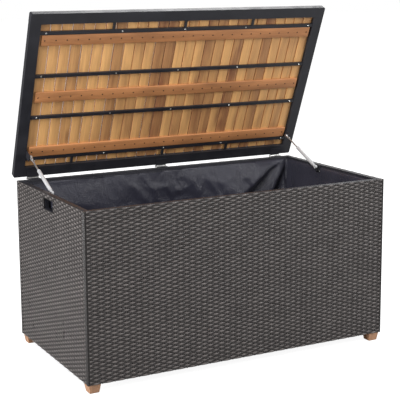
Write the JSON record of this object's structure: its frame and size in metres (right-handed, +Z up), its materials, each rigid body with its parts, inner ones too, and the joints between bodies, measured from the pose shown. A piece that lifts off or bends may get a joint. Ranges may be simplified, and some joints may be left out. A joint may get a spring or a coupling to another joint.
{
  "type": "deck storage box",
  "caption": "Woven resin garden storage box with a slatted wooden lid that opens on hinges and gas struts, a fabric liner, hand holes and wooden feet.",
  "frame": {"origin": "on the ground, under the middle of the bounding box with the lid open", "axes": "+X to the right along the front, +Y from the front to the hinged back, +Z up"},
  "size_m": [1.2, 0.6788, 1.2352],
  "materials": {
    "resin_weave": "woven half-round resin strand, satin, brown-grey",
    "black_frame": "satin charcoal powder coat",
    "black_steel": "satin black",
    "hardwood": "oiled golden to red-brown hardwood",
    "liner_fabric": "dark slate polyester with a slight sheen",
    "strut_metal": "light grey",
    "hinge_steel": "dull zinc plate"
  },
  "bodies": {
    "box": {"front_wicker": "resin_weave", "back_wicker": "resin_weave", "left_wicker": "resin_weave", "right_wicker": "resin_weave", "front_panel_frame": "black_frame", "back_panel_frame": "black_frame", "left_end_frame": "black_frame", "right_end_frame": "black_frame", "base_frame": "black_frame", "liner_bag": "liner_fabric", "foot_front_left": "hardwood", "foot_front_right": "hardwood", "foot_back_left": "hardwood", "foot_back_right": "hardwood", "hinge_left_box_leaf": "hinge_steel", "hinge_middle_box_leaf": "hinge_steel", "hinge_right_box_leaf": "hinge_steel", "hinge_left_pin": "hinge_steel", "hinge_middle_pin": "hinge_steel", "hinge_right_pin": "hinge_steel", "strut_left_bracket": "black_steel", "strut_right_bracket": "black_steel"},
    "lid": {"lid_frame": "black_frame", "lid_batten_rear": "hardwood", "lid_batten_middle": "hardwood", "lid_batten_front": "hardwood", "lid_slat_01": "hardwood", "lid_slat_02": "hardwood", "lid_slat_03": "hardwood", "lid_slat_04": "hardwood", "lid_slat_05": "hardwood", "lid_slat_06": "hardwood", "lid_slat_07": "hardwood", "lid_slat_08": "hardwood", "lid_slat_09": "hardwood", "lid_slat_10": "hardwood", "lid_slat_11": "hardwood", "lid_slat_12": "hardwood", "lid_slat_13": "hardwood", "lid_slat_14": "hardwood", "lid_slat_15": "hardwood", "lid_slat_16": "hardwood", "lid_slat_17": "hardwood", "lid_slat_18": "hardwood", "lid_slat_19": "hardwood", "lid_slat_20": "hardwood", "lid_slat_21": "hardwood", "lid_slat_22": "hardwood", "lid_slat_23": "hardwood", "lid_slat_24": "hardwood", "lid_slat_25": "hardwood", "lid_slat_26": "hardwood", "lid_slat_27": "hardwood", "hinge_left_lid_leaf": "hinge_steel", "hinge_middle_lid_leaf": "hinge_steel", "hinge_right_lid_leaf": "hinge_steel"},
    "strut_left_cylinder": {"strut_left_cylinder": "strut_metal"},
    "strut_left_rod": {"strut_left_rod": "strut_metal"},
    "strut_right_cylinder": {"strut_right_cylinder": "strut_metal"},
    "strut_right_rod": {"strut_right_rod": "strut_metal"}
  },
  "joints": [
    {"name": "lid_hinge", "type": "hinge", "parent": "box", "child": "lid", "pos_m": [0, 0.32008, 0.6173], "axis": [1, 0, 0], "range_deg": [0, 67.2], "stiffness_Nm_per_rad": 6, "springref_deg": -160.43},
    {"name": "strut_left_swing", "type": "hinge", "parent": "box", "child": "strut_left_cylinder", "pos_m": [-0.551, 0.04858, 0.607], "axis": [1, 0, 0], "range_deg": [-27.6, 0]},
    {"name": "strut_left_slide", "type": "slide", "parent": "strut_left_cylinder", "child": "strut_left_rod", "axis": [0, 0.9094, 0.4159], "range_m": [-0.0668, 0]},
    {"name": "strut_right_swing", "type": "hinge", "parent": "box", "child": "strut_right_cylinder", "pos_m": [0.551, 0.04858, 0.607], "axis": [1, 0, 0], "range_deg": [-27.6, 0]},
    {"name": "strut_right_slide", "type": "slide", "parent": "strut_right_cylinder", "child": "strut_right_rod", "axis": [0, 0.9094, 0.4159], "range_m": [-0.0668, 0]}
  ],
  "couplings": [
    {"joint": "strut_left_swing", "follows": "lid_hinge", "ratio": -0.40966},
    {"joint": "strut_left_slide", "follows": "lid_hinge", "m_per_rad": -0.05684},
    {"joint": "strut_right_swing", "follows": "lid_hinge", "ratio": -0.40966},
    {"joint": "strut_right_slide", "follows": "lid_hinge", "m_per_rad": -0.05684}
  ]
}
